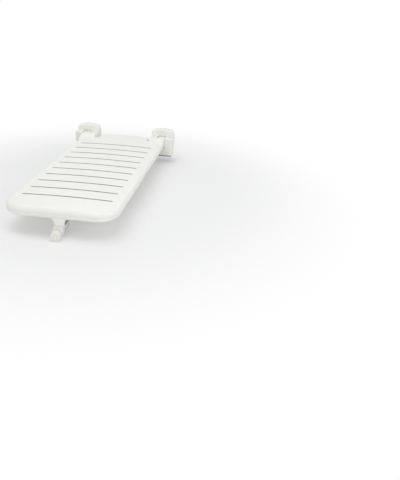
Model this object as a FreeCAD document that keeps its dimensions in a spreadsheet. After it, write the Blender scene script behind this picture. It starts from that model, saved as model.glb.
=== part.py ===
import FreeCAD, Part
import math
import os

import Sketcher
from FreeCAD import Placement, Rotation, Vector

# Folding bath seat: a moulded seat that turns up about two wall brackets and stands
# on the tub rim through a front post with a hand clamp.
# Millimetres, +Z up, the wall is the plane Y = 0 and the seat reaches towards -Y.
# The origin is the centre of the wall bolts.

SIZES = {
    # seat outline, seen from above
    "seat_half_width": 185.0,
    "seat_reach": 873.0,
    "front_corner_radius": 68.0,
    "notch_clearance": 8.0,
    "middle_from_wall": 22.0,
    "middle_corner_radius": 25.0,
    "shoulder_from_wall": 73.0,
    "shoulder_radius": 8.0,
    "tongue_root_radius": 3.5,
    "tongue_width": 32.0,
    # seat section
    "seat_top_height": 16.2,
    "seat_bottom_drop": 21.5,
    "crown_rise": 4.9,
    "parting_drop": 4.0,
    "top_edge_radius": 14.0,
    "bottom_edge_radius": 14.5,
    "seat_wall": 4.0,
    "seat_skin": 5.0,
    "tray_floor": 3.5,
    # drain slots
    "slot_end_margin": 35.0,
    "slot_width": 5.2,
    "slot_count": 10,
    "first_slot_from_wall": 185.0,
    "last_slot_setback": 103.0,
    "tray_slot_width": 12.0,
    "tray_slot_end_margin": 50.0,
    # ribs inside the seat
    "rib_thickness": 3.0,
    "rib_spacing": 78.0,
    "seating_gap": 0.3,
    # hinge
    "hinge_from_wall": 44.0,
    "hinge_height": 13.0,
    "hub_radius": 13.0,
    "hub_edge_radius": 5.0,
    "crest_front_from_wall": 84.0,
    "crest_foot_from_wall": 132.0,
    "crest_foot_height": 8.0,
    "crest_crease_radius": 20.0,
    "arm_width": 64.0,
    "arm_edge_radius": 9.0,
    "pin_radius": 5.0,
    "running_clearance": 0.08,
    "fixed_clearance": 0.05,
    "pin_head_radius": 8.0,
    "pin_head_thickness": 3.0,
    "pin_tail": 4.0,
    "clip_thickness": 1.2,
    "clip_groove_depth": 1.0,
    "clip_radius": 8.0,
    "bush_wall": 1.5,
    "bush_length": 9.0,
    "barrel_radius": 8.7,
    "washer_radius": 9.5,
    "washer_play": 0.15,
    "hub_hole_clearance": 0.6,
    # wall bracket under the cover
    "cheek_gap": 36.0,
    "cheek_thickness": 5.0,
    "cheek_front_from_wall": 66.0,
    "plate_width": 80.0,
    "plate_height": 78.0,
    "plate_thickness": 4.0,
    "plate_corner_radius": 6.0,
    "bolt_spacing_across": 60.0,
    "bolt_spacing_up": 56.0,
    "bolt_hole_radius": 4.25,
    "stop_pin_radius": 4.0,
    "stop_pin_from_wall": 62.0,
    "stop_pin_overhang": 2.0,
    # bracket cover, base strip and seal
    "cover_half_width": 46.5,
    "cover_side_bulge": 3.5,
    "cover_depth": 70.0,
    "cover_top": 53.0,
    "cover_shoulder": 44.0,
    "cover_parting_drop": 40.0,
    "cover_wall": 3.0,
    "ledge_height": 26.0,
    "block_depth": 30.0,
    "cover_edge_radius": 12.0,
    "cover_lip_radius": 5.0,
    "cover_slot_clearance": 0.6,
    "cover_slot_room": 2.5,
    "hub_room": 0.8,
    "base_height": 11.0,
    "base_floor": 3.0,
    "base_edge_chamfer": 1.6,
    "seal_height": 4.0,
    "seal_inset": 1.5,
    "cover_boss_radius": 4.5,
    "cover_boss_height": 24.0,
    "cover_boss_from_wall": 45.0,
    "small_screw_radius": 1.9,
    "small_screw_head_radius": 3.6,
    "small_screw_head_height": 1.8,
    "small_screw_length": 18.0,
    # frame inside the seat
    "rail_size": 16.0,
    "rail_wall": 2.0,
    "rail_drop": 5.0,
    "header_margin": 16.0,
    "rail_neck_width": 10.0,
    "rail_neck_length": 12.0,
    "rear_tube_pitch_share": 0.5,
    "middle_tube_pitch_share": 4.5,
    "plug_depth": 12.0,
    "plug_cap": 2.0,
    # screws between board and tray
    "board_screw_margin": 65.0,
    "board_boss_radius": 5.0,
    "board_screw_radius": 2.4,
    "board_screw_head_radius": 4.6,
    "board_screw_head_height": 2.2,
    "board_screw_length": 19.0,
    # front post
    "post_front_setback": 20.0,
    "post_depth": 52.0,
    "post_width": 32.0,
    "post_top_width": 58.0,
    "post_flare_top": 24.0,
    "post_flare_bottom": 42.0,
    "post_flare_sag": 2.5,
    "post_bottom": 60.0,
    "post_wall": 4.0,
    "post_corner_radius": 3.0,
    "window_length": 36.0,
    "window_height": 25.0,
    "window_setback": 8.0,
    "rim_pad_height": 4.0,
    "rim_pad_setback": 4.0,
    "support_screw_across": 36.0,
    "support_screw_radius": 3.0,
    "support_screw_head_radius": 5.0,
    "support_screw_head_height": 2.5,
    # clamp in front of the post
    "rim_gap": 3.0,
    "lug_setback": 5.0,
    "lug_thickness": 16.0,
    "lug_root": 47.0,
    "lug_shoulder": 58.0,
    "clamp_drop": 68.5,
    "insert_radius": 7.0,
    "insert_flange_radius": 9.0,
    "insert_flange_thickness": 1.0,
    "screw_radius": 4.9,
    "screw_into_knob": 12.0,
    "knob_radius": 16.5,
    "knob_length": 20.0,
    "knob_standoff": 1.0,
    "knob_edge_radius": 2.0,
    "knob_flute_radius": 3.0,
    "knob_flute_depth": 0.9,
    "knob_flute_count": 12,
    "cap_radius": 11.5,
    "cap_thickness": 2.0,
    "cap_recess": 0.8,
    "cap_edge_radius": 0.6,
    "shoe_radius": 8.0,
    "shoe_thickness": 4.0,
    "shoe_socket_depth": 2.5,
    "shoe_pad_thickness": 2.0,
    "shoe_recess": 9.0,
    "shoe_side_clearance": 0.5,
    # one overrun for every cut
    "overrun": 2.0,
}

doc = FreeCAD.newDocument("FoldingBathSeat")
sheet = doc.addObject("Spreadsheet::Sheet", "Sizes")
for row, (alias, value) in enumerate(SIZES.items(), start=1):
    sheet.set(f"A{row}", alias)
    sheet.set(f"B{row}", str(value))
    sheet.setAlias(f"B{row}", alias)
doc.recompute()


class Size:
    """A number together with its formula on the sheet."""

    def __init__(self, number, formula):
        self.number = number
        self.formula = formula

    def __add__(self, other):
        other = as_size(other)
        return Size(self.number + other.number, f"({self.formula} + {other.formula})")

    def __sub__(self, other):
        other = as_size(other)
        return Size(self.number - other.number, f"({self.formula} - {other.formula})")

    def __mul__(self, other):
        other = as_size(other)
        return Size(self.number * other.number, f"({self.formula} * {other.formula})")

    def __truediv__(self, other):
        other = as_size(other)
        return Size(self.number / other.number, f"({self.formula} / {other.formula})")

    def __radd__(self, other):
        return as_size(other) + self

    def __rsub__(self, other):
        return as_size(other) - self

    def __rmul__(self, other):
        return as_size(other) * self

    def __neg__(self):
        return Size(-self.number, f"(0 - {self.formula})")

    def root(self):
        return Size(math.sqrt(self.number), f"sqrt({self.formula})")


def as_size(value):
    return value if isinstance(value, Size) else Size(value, repr(value))


class Sheet:
    """Each alias of the sheet as a Size."""

    def __getattr__(self, alias):
        return Size(float(sheet.get(alias)), f"Sizes.{alias}")


S = Sheet()
ZERO = as_size(0)

# places worked out from the sizes
HINGE_Y = -S.hinge_from_wall
HINGE_X = S.seat_half_width - S.tongue_width / 2
HINGE_Z = S.hinge_height
TONGUE_END_Y = HINGE_Y + S.hub_radius
MIDDLE_HALF = HINGE_X - S.cover_half_width - S.cover_side_bulge - S.notch_clearance
SLOT_Y = -S.first_slot_from_wall
SLOT_PITCH = (S.seat_reach - S.first_slot_from_wall - S.last_slot_setback) / (S.slot_count - 1)
FRONT_Y = -S.seat_reach
FRAME_TOP = S.rail_size / 2 - S.rail_drop
FRAME_BOTTOM = -S.rail_size / 2 - S.rail_drop
POST_FRONT_Y = FRONT_Y + S.post_front_setback
POST_REAR_Y = POST_FRONT_Y + S.post_depth
POST_MID_Y = POST_FRONT_Y + S.post_depth / 2
LUG_BACK_Y = POST_FRONT_Y - S.lug_setback
LUG_FRONT_Y = LUG_BACK_Y - S.lug_thickness
INSERT_BACK_Y = LUG_BACK_Y - S.shoe_recess
SHOE_BACK_Y = POST_FRONT_Y - S.rim_gap - S.shoe_thickness - S.shoe_pad_thickness
KNOB_BACK_Y = LUG_FRONT_Y - S.insert_flange_thickness - S.knob_standoff
KNOB_FACE_Y = KNOB_BACK_Y - S.knob_length
BORE_RADIUS = S.pin_radius + S.bush_wall


def bind(thing, name, size):
    """Ties a property of an object to its formula on the sheet."""
    thing.setExpression(name, as_size(size).formula)


def place(thing, x=ZERO, y=ZERO, z=ZERO):
    """Moves an object to a place that follows the sheet."""
    for axis, size in (("x", x), ("y", y), ("z", z)):
        if as_size(size).number or as_size(size).formula != "0":
            bind(thing, f"Placement.Base.{axis}", size)
    return thing


def new_body(name):
    body = doc.addObject("PartDesign::Body", name)
    body.Label = name
    return body


def new_sketch(body, plane, offset=ZERO, raised=ZERO):
    """A sketch on one of the body's own planes, moved along the plane's normal and up it."""
    sketch = body.newObject("Sketcher::SketchObject", "Sketch")
    origin_plane = [item for item in body.Origin.OriginFeatures if item.Role == plane][0]
    sketch.AttachmentSupport = [(origin_plane, "")]
    sketch.MapMode = "FlatFace"
    bind(sketch, "AttachmentOffset.Base.z", offset)
    bind(sketch, "AttachmentOffset.Base.y", raised)
    return sketch


def fix_point(sketch, edge, end, x, y):
    """Holds one point of a sketch at a place given by two sizes."""
    for kind, size in (("DistanceX", as_size(x)), ("DistanceY", as_size(y))):
        if size.number < 0:
            number = sketch.addConstraint(Sketcher.Constraint(kind, edge, end, -1, 1, -size.number))
            size = -size
        else:
            number = sketch.addConstraint(Sketcher.Constraint(kind, -1, 1, edge, end, size.number))
        if size.formula != "0":
            bind(sketch, f"Constraints[{number}]", size)


def draw_outline(sketch, corners):
    """A closed outline: each corner is x, y and, where the next side is an arc, its rise."""
    first = sketch.GeometryCount
    points = [Vector(as_size(corner[0]).number, as_size(corner[1]).number, 0) for corner in corners]
    starts = []
    ends = []
    for number, corner in enumerate(corners):
        here = points[number]
        there = points[(number + 1) % len(points)]
        edge = first + number
        if len(corner) < 3:
            sketch.addGeometry(Part.LineSegment(here, there))
            starts.append(1)
            ends.append(2)
            continue
        rise = corner[2]
        chord = there - here
        outward = Vector(chord.y, -chord.x, 0).normalize()
        sketch.addGeometry(Part.Arc(here, (here + there) / 2 + outward * rise.number, there))
        forward = sketch.getPoint(edge, 1).distanceToPoint(here) < chord.Length / 2
        starts.append(1 if forward else 2)
        ends.append(2 if forward else 1)
        beyond = corners[(number + 1) % len(corners)]
        across = as_size(beyond[0]) - corner[0]
        along = as_size(beyond[1]) - corner[1]
        half_chord = (across * across + along * along).root() / 2
        size = rise if rise.number > 0 else -rise
        radius = (half_chord * half_chord + size * size) / (2 * size)
        constraint = sketch.addConstraint(Sketcher.Constraint("Radius", edge, radius.number))
        bind(sketch, f"Constraints[{constraint}]", radius)
    for number, corner in enumerate(corners):
        after = (number + 1) % len(corners)
        sketch.addConstraint(
            Sketcher.Constraint("Coincident", first + number, ends[number], first + after, starts[after])
        )
        fix_point(sketch, first + number, starts[number], corner[0], corner[1])


def draw_rectangle(sketch, left, right, bottom, top):
    draw_outline(sketch, [(left, bottom), (right, bottom), (right, top), (left, top)])


def draw_slot(sketch, half_run, y, width):
    """A slot with round ends, lying across."""
    first = sketch.GeometryCount
    radius = width / 2
    for x, start in ((half_run, -math.pi / 2), (-half_run, math.pi / 2)):
        circle = Part.Circle(Vector(x.number, y.number, 0), Vector(0, 0, 1), radius.number)
        arc = sketch.addGeometry(Part.ArcOfCircle(circle, start, start + math.pi))
        constraint = sketch.addConstraint(Sketcher.Constraint("Radius", arc, radius.number))
        bind(sketch, f"Constraints[{constraint}]", radius)
        fix_point(sketch, arc, 3, x, y)
        sketch.addConstraint(Sketcher.Constraint("Vertical", arc, 1, arc, 3))
        sketch.addConstraint(Sketcher.Constraint("Vertical", arc, 2, arc, 3))
    right, left = first, first + 1
    for begin, end in ((right, left), (left, right)):
        side = sketch.addGeometry(Part.LineSegment(sketch.getPoint(begin, 2), sketch.getPoint(end, 1)))
        sketch.addConstraint(Sketcher.Constraint("Coincident", side, 1, begin, 2))
        sketch.addConstraint(Sketcher.Constraint("Coincident", side, 2, end, 1))


def draw_circle(sketch, x, y, radius):
    centre = Vector(as_size(x).number, as_size(y).number, 0)
    edge = sketch.addGeometry(Part.Circle(centre, Vector(0, 0, 1), as_size(radius).number))
    constraint = sketch.addConstraint(Sketcher.Constraint("Radius", edge, as_size(radius).number))
    bind(sketch, f"Constraints[{constraint}]", radius)
    fix_point(sketch, edge, 3, x, y)


def pad(body, sketch, length, towards_back=False):
    feature = body.newObject("PartDesign::Pad", "Pad")
    feature.Profile = sketch
    feature.Reversed = towards_back
    bind(feature, "Length", length)
    doc.recompute()
    return feature


def pocket(body, sketch, length, along_normal=False):
    """A cut of a given depth, checked to take something away."""
    before = body.Shape.Volume
    feature = body.newObject("PartDesign::Pocket", "Pocket")
    feature.Profile = sketch
    feature.Reversed = along_normal
    bind(feature, "Length", length)
    doc.recompute()
    if not feature.Shape.Volume < before:
        raise RuntimeError(f"{body.Label}: a pocket cut nothing")
    return feature


def dress(body, kind, name, size, wanted):
    """A fillet or chamfer on the edges of the body for which wanted(edge) holds."""
    base = body.Tip
    edges = [f"Edge{number}" for number, edge in enumerate(base.Shape.Edges, start=1) if wanted(edge)]
    if not edges:
        raise RuntimeError(f"{body.Label}: no edge to dress")
    feature = body.newObject(kind, name)
    feature.Base = (base, edges)
    bind(feature, "Radius" if name == "Fillet" else "Size", size)
    doc.recompute()
    return feature


def fillet(body, size, wanted):
    return dress(body, "PartDesign::Fillet", "Fillet", size, wanted)


def chamfer(body, size, wanted):
    return dress(body, "PartDesign::Chamfer", "Chamfer", size, wanted)


NEAR = S.seating_gap.number / 10


def at(value, size):
    return abs(value - as_size(size).number) < NEAR


def spans(edge, axis):
    """The length that an edge covers along one axis."""
    box = edge.BoundBox
    return {"x": box.XLength, "y": box.YLength, "z": box.ZLength}[axis]


def upright(edge):
    return spans(edge, "x") < NEAR and spans(edge, "y") < NEAR


def middle(edge):
    return edge.BoundBox.Center


def join(kind, name, *parts):
    """A boolean of finished objects."""
    if len(parts) == 2 and kind != "Fuse":
        result = doc.addObject(f"Part::{kind}", name)
        result.Base = parts[0]
        result.Tool = parts[1]
    else:
        result = doc.addObject("Part::MultiFuse", name)
        result.Shapes = list(parts)
    result.Label = name
    doc.recompute()
    return result


def box(name, low, high):
    """A box between two corners."""
    block = doc.addObject("Part::Box", name)
    block.Label = name
    for axis, side, start, end in zip("xyz", ("Length", "Width", "Height"), low, high):
        bind(block, side, as_size(end) - start)
        bind(block, f"Placement.Base.{axis}", start)
    doc.recompute()
    return block


TURN = {
    "x": Rotation(Vector(0, 1, 0), 90),
    "y": Rotation(Vector(1, 0, 0), 90),
    "z": Rotation(),
}


def cylinder(name, axis, start, length, radius):
    """A cylinder from a point, running along +X, -Y or +Z."""
    rod = doc.addObject("Part::Cylinder", name)
    rod.Label = name
    rod.Placement = Placement(Vector(), TURN[axis])
    bind(rod, "Radius", radius)
    bind(rod, "Height", length)
    for name_of_axis, size in zip("xyz", start):
        bind(rod, f"Placement.Base.{name_of_axis}", size)
    doc.recompute()
    return rod


def group(name, solids):
    """Several like pieces that share one node."""
    feature = doc.addObject("Part::Feature", name)
    feature.Label = name
    feature.Shape = Part.makeCompound(solids)
    return feature


def rod_shape(axis, start, length, radius):
    """A plain cylinder shape along +X, -Y or +Z."""
    direction = {"x": Vector(1, 0, 0), "y": Vector(0, -1, 0), "z": Vector(0, 0, 1)}[axis]
    point = Vector(*[as_size(size).number for size in start])
    return Part.makeCylinder(as_size(radius).number, as_size(length).number, point, direction)


def block_shape(side, ends, y, z, half):
    """A square bar shape between two distances from the middle plane, on one side."""
    start, end = sorted(side * size.number for size in ends)
    corner = Vector(start, (y - half).number, (z - half).number)
    return Part.makeBox(end - start, 2 * half.number, 2 * half.number, corner)


NODES = []


def keep(feature, name):
    """Marks a finished piece, whose label names its file."""
    feature.Label = name
    NODES.append(feature)
    return feature


SIDES = (("left", -1), ("right", 1))
CROWN_STRIP_COUNT = 8


# Seat: one outer form and one inner form, each a board with a hub at each tongue


def crown_drop(x):
    """How far the seat's top lies below its middle line, that far out."""
    return S.crown_rise * x * x / (S.seat_half_width * S.seat_half_width)


def board_form(name, inset, skin, floor):
    """The seat's board, made smaller by inset at the sides, skin above and floor below."""
    body = new_body(name)
    half = S.seat_half_width - inset
    front = FRONT_Y + inset
    middle_half = MIDDLE_HALF - inset
    rear = -S.middle_from_wall - inset
    shoulder = -S.shoulder_from_wall - inset
    tongue = S.seat_half_width - S.tongue_width + inset
    end = TONGUE_END_Y - inset
    bottom = floor - S.seat_bottom_drop
    crown_top = S.seat_top_height - skin
    outline = new_sketch(body, "XY_Plane", bottom)
    draw_outline(outline, [
        (-half, front), (half, front), (half, end), (tongue, end), (tongue, shoulder),
        (middle_half, shoulder), (middle_half, rear), (-middle_half, rear), (-middle_half, shoulder),
        (-tongue, shoulder), (-tongue, end), (-half, end),
    ])
    pad(body, outline, crown_top - bottom + S.overrun)

    reach = half + S.overrun
    low = crown_top - crown_drop(reach)
    above = crown_top + 2 * S.overrun
    strip_rise = crown_drop(reach / CROWN_STRIP_COUNT)
    strips = [reach * (2 * number / CROWN_STRIP_COUNT - 1) for number in range(CROWN_STRIP_COUNT)]
    crown = new_sketch(body, "XZ_Plane")
    border = [(reach, low), (reach, above), (-reach, above)]
    draw_outline(crown, border + [(x, crown_top - crown_drop(x), -strip_rise) for x in strips])
    pocket(body, crown, S.seat_reach + S.overrun, along_normal=True)

    def corner(x, y):
        return lambda edge: upright(edge) and at(abs(middle(edge).x), x) and at(middle(edge).y, y)

    fillet(body, S.front_corner_radius - inset, corner(half, front))
    fillet(body, S.middle_corner_radius - inset, corner(middle_half, rear))
    fillet(body, S.tongue_root_radius + inset, corner(tongue, shoulder))
    fillet(body, S.shoulder_radius + inset, corner(middle_half, shoulder))

    def on_crown(edge):
        tongue_end = spans(edge, "y") < NEAR and at(middle(edge).y, end)
        seam = spans(edge, "x") < NEAR and any(at(middle(edge).x, x) for x in strips)
        return edge.BoundBox.ZMin > low.number - NEAR and not tongue_end and not seam

    def on_bottom(edge):
        return at(edge.BoundBox.ZMax, bottom)

    fillet(body, S.top_edge_radius - inset, on_crown)
    fillet(body, S.bottom_edge_radius - inset, on_bottom)
    return body


def hub_form(name, side, inset):
    """The round end of a tongue, about the hinge axis."""
    body = new_body(name)
    half = S.tongue_width / 2 - inset
    round_face = new_sketch(body, "YZ_Plane", -half)
    draw_circle(round_face, HINGE_Y, HINGE_Z, S.hub_radius - inset)
    pad(body, round_face, 2 * half)
    fillet(body, S.hub_edge_radius - inset, lambda edge: edge.isClosed() and at(spans(edge, "x"), ZERO))
    place(body, x=side * HINGE_X)
    return body


def crest_form(name, centre_x, half, rear, edge_radius, inset):
    """A ramp from the board's top up to the height of the hub's top."""
    body = new_body(name)
    top = HINGE_Z + S.hub_radius - inset
    foot = S.crest_foot_height - inset
    far = -S.crest_foot_from_wall
    profile = new_sketch(body, "YZ_Plane", -half)
    near = -S.crest_front_from_wall
    draw_outline(profile, [(rear, ZERO), (rear, top), (near, top), (far, foot), (far, ZERO)])
    pad(body, profile, 2 * half)

    def crease(edge):
        return at(edge.BoundBox.ZMin, top) and at(edge.BoundBox.YMax, near)

    def top_side(edge):
        return spans(edge, "x") < NEAR and edge.BoundBox.ZMin > foot.number - NEAR

    fillet(body, S.crest_crease_radius - inset, crease)
    fillet(body, edge_radius - inset, top_side)
    place(body, x=centre_x)
    return body


def seat_form(name, inset, skin, floor):
    parts = [board_form(f"{name}_board", inset, skin, floor)]
    for side_name, side in SIDES:
        parts.append(hub_form(f"{name}_hub_{side_name}", side, inset))
        half = S.tongue_width / 2 - inset
        x = side * HINGE_X
        parts.append(crest_form(f"{name}_crest_{side_name}", x, half, HINGE_Y, S.hub_edge_radius, inset))
        half = S.arm_width / 2 - inset
        x = side * (S.seat_half_width - S.arm_width / 2)
        shoulder = -S.shoulder_from_wall - inset
        parts.append(crest_form(f"{name}_arm_{side_name}", x, half, shoulder, S.arm_edge_radius, inset))
    return join("Fuse", name, *parts)


def slot_cutter(name, width, end_margin):
    """The row of drain slots as one cutting tool."""
    body = new_body(name)
    half_run = S.seat_half_width - end_margin - width / 2
    slot = new_sketch(body, "XY_Plane", -S.seat_bottom_drop - S.overrun)
    draw_slot(slot, half_run, SLOT_Y, width)
    pad(body, slot, S.seat_bottom_drop + S.seat_top_height + 2 * S.overrun)
    row = body.newObject("PartDesign::LinearPattern", "Row")
    row.Originals = [body.Tip]
    row.Direction = (slot, ["V_Axis"])
    row.Reversed = True
    bind(row, "Length", SLOT_PITCH * (S.slot_count - 1))
    bind(row, "Occurrences", S.slot_count)
    body.Tip = row
    doc.recompute()
    return body


def slot_space(pitch_share):
    """The place midway between two neighbouring slots."""
    return SLOT_Y - SLOT_PITCH * pitch_share


SCREW_PITCH_SHARES = (1.5, 3.5, 6.5, 8.5)
RIB_PITCH_SHARES = tuple(number + 0.5 for number in range(int(SIZES["slot_count"]) - 1))


def rib_grid(name, bottom, top):
    """Crossed ribs between two heights, cut to the inner form later."""
    bars = []
    for number, space in enumerate(RIB_PITCH_SHARES):
        y = slot_space(space)
        bars.append(box(
            f"{name}_across_{number}",
            (-S.seat_half_width, y - S.rib_thickness / 2, bottom),
            (S.seat_half_width, y + S.rib_thickness / 2, top),
        ))
    for number in (-1, 0, 1):
        x = S.rib_spacing * number
        bars.append(box(
            f"{name}_along_{number + 1}",
            (x - S.rib_thickness / 2, FRONT_Y, bottom),
            (x + S.rib_thickness / 2, -S.middle_from_wall, top),
        ))
    return join("Fuse", name, *bars)


def board_screw_places():
    for space in SCREW_PITCH_SHARES:
        for side_name, side in SIDES:
            yield side * (S.seat_half_width - S.board_screw_margin), slot_space(space)


def pin_hole(name, radius):
    """A cylinder through each hub, clear of the seat between them."""
    half = S.tongue_width / 2 + S.overrun
    holes = []
    for side_name, side in SIDES:
        start = (side * HINGE_X - half, HINGE_Y, HINGE_Z)
        holes.append(cylinder(f"{name}_{side_name}", "x", start, 2 * half, radius))
    return join("Fuse", name, *holes)


def make_seat():
    outer = seat_form("seat_outer", ZERO, ZERO, ZERO)
    inner = seat_form("seat_inner", S.seat_wall, S.seat_skin, S.tray_floor)
    hollow = join("Cut", "seat_hollow", outer, inner)
    wide = S.seat_half_width + S.overrun
    far = FRONT_Y - S.overrun
    high = HINGE_Z + S.hub_radius + S.overrun
    deep = -S.seat_bottom_drop - S.overrun
    above = box("above_parting", (-wide, far, -S.parting_drop), (wide, ZERO, high))
    below = box("below_parting", (-wide, far, deep), (wide, ZERO, -S.parting_drop))
    hole_radius = S.pin_radius + S.hub_hole_clearance

    top_ribs = rib_grid("top_ribs", FRAME_TOP + S.seating_gap, S.seat_top_height)
    low = -S.seat_bottom_drop + S.tray_floor
    bosses = []
    for number, (x, y) in enumerate(board_screw_places()):
        start = (x, y, low + S.seating_gap)
        length = S.seat_top_height - low - S.seating_gap
        bosses.append(cylinder(f"boss_{number}", "z", start, length, S.board_boss_radius))
    inside = join("Fuse", "top_inside", top_ribs, *bosses)
    inside = join("Common", "top_inside_trimmed", inside, inner)
    shell = join("Common", "top_shell", hollow, above)
    shell = join("Fuse", "top_shell_ribbed", shell, inside)
    cuts = [
        slot_cutter("top_slots", S.slot_width, S.slot_end_margin),
        pin_hole("top_pin_hole", hole_radius),
    ]
    for number, (x, y) in enumerate(board_screw_places()):
        start = (x, y, low)
        cuts.append(cylinder(f"boss_bore_{number}", "z", start, S.board_screw_length, S.board_screw_radius))
    keep(join("Cut", "seat_board_cut", shell, join("Fuse", "top_cuts", *cuts)), "seat_board")

    tray_ribs = rib_grid("tray_ribs", -S.seat_bottom_drop, FRAME_BOTTOM - S.seating_gap)
    tray_ribs = join("Common", "tray_ribs_trimmed", tray_ribs, inner)
    tray = join("Common", "tray_shell", hollow, below)
    tray = join("Fuse", "tray_shell_ribbed", tray, tray_ribs)
    cuts = [
        slot_cutter("tray_slots", S.tray_slot_width, S.tray_slot_end_margin),
        pin_hole("tray_pin_hole", hole_radius),
    ]
    base = -S.seat_bottom_drop - S.overrun
    for number, (x, y) in enumerate(board_screw_places()):
        length = S.tray_floor + 2 * S.overrun
        cuts.append(cylinder(f"tray_bore_{number}", "z", (x, y, base), length, S.board_screw_radius))
        room = S.board_boss_radius + S.seating_gap
        cuts.append(cylinder(f"tray_room_{number}", "z", (x, y, low), FRAME_BOTTOM - low, room))
        head = S.board_screw_head_height + S.overrun
        radius = S.board_screw_head_radius + S.running_clearance
        cuts.append(cylinder(f"tray_seat_{number}", "z", (x, y, base), head, radius))
    for side_name, side in SIDES:
        start = (side * S.support_screw_across / 2, POST_MID_Y, base)
        length = S.tray_floor + 2 * S.overrun
        radius = S.support_screw_radius + S.running_clearance
        cuts.append(cylinder(f"tray_post_bore_{side_name}", "z", start, length, radius))
    keep(join("Cut", "seat_underside_cut", tray, join("Fuse", "tray_cuts", *cuts)), "seat_underside")

    screws = []
    for x, y in board_screw_places():
        bottom = -S.seat_bottom_drop
        radius = S.board_screw_radius - S.fixed_clearance
        head = rod_shape("z", (x, y, bottom), S.board_screw_head_height, S.board_screw_head_radius)
        shank = rod_shape("z", (x, y, bottom), S.board_screw_length - S.overrun, radius)
        screws.append(head.fuse(shank).removeSplitter())
    keep(group("board_screws", screws), "board_screws")


# Frame inside the seat


def make_frame():
    half = S.rail_size / 2
    core = half - S.rail_wall
    barrel_half = S.tongue_width / 2 - S.seat_wall - S.seating_gap
    front = POST_MID_Y + half
    neck = S.rail_neck_width / 2
    neck_front = HINGE_Y - S.rail_neck_length / 2
    for side_name, side in SIDES:
        name = f"frame_rail_{side_name}"
        neck_rear = neck_front + S.rail_neck_length
        bar = box(f"{name}_bar", (-half, front, FRAME_BOTTOM), (half, neck_rear, FRAME_TOP))
        stem = box(f"{name}_neck", (-neck, neck_front, ZERO), (neck, neck_rear, HINGE_Z))
        start = (-barrel_half, HINGE_Y, HINGE_Z)
        barrel = cylinder(f"{name}_barrel", "x", start, 2 * barrel_half, S.barrel_radius)
        void = box(
            f"{name}_void",
            (-core, front - S.overrun, FRAME_BOTTOM + S.rail_wall),
            (core, neck_front - S.overrun, FRAME_TOP - S.rail_wall),
        )
        bore = cylinder(
            f"{name}_bore", "x", (-barrel_half - S.overrun, HINGE_Y, HINGE_Z),
            2 * (barrel_half + S.overrun), BORE_RADIUS + S.fixed_clearance,
        )
        solid = join("Fuse", f"{name}_solid", bar, stem, barrel)
        rail = join("Cut", f"{name}_cut", solid, join("Fuse", f"{name}_holes", void, bore))
        keep(place(rail, x=side * HINGE_X), name)

    between_rails = HINGE_X - half
    header_end = S.seat_half_width - S.header_margin
    tubes = {
        "cross_tube_rear": (slot_space(S.rear_tube_pitch_share), between_rails),
        "cross_tube_middle": (slot_space(S.middle_tube_pitch_share), between_rails),
        "cross_tube_front": (POST_MID_Y, header_end),
    }
    for name, (y, end) in tubes.items():
        bar = box(f"{name}_bar", (-end, y - half, FRAME_BOTTOM), (end, y + half, FRAME_TOP))
        void = box(
            f"{name}_void",
            (-end - S.overrun, y - core, FRAME_BOTTOM + S.rail_wall),
            (end + S.overrun, y + core, FRAME_TOP - S.rail_wall),
        )
        if name == "cross_tube_front":
            bores = []
            for side_name, side in SIDES:
                start = (side * S.support_screw_across / 2, y, FRAME_BOTTOM - S.overrun)
                length = S.rail_wall + 2 * S.overrun
                radius = S.support_screw_radius + S.fixed_clearance
                bores.append(cylinder(f"{name}_bore_{side_name}", "z", start, length, radius))
            void = join("Fuse", f"{name}_holes", void, *bores)
        keep(join("Cut", f"{name}_cut", bar, void), name)

    plugs = []
    for side_name, side in SIDES:
        stem_half = core - S.fixed_clearance
        stem = [header_end - S.plug_depth, header_end]
        lid = [header_end, header_end + S.plug_cap]
        plug = block_shape(side, stem, POST_MID_Y, -S.rail_drop, stem_half)
        plugs.append(plug.fuse(block_shape(side, lid, POST_MID_Y, -S.rail_drop, half)).removeSplitter())
    keep(group("rail_plugs", plugs), "rail_plugs")


# Hinge pins, clips, bushes, washers and stop pins


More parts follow.
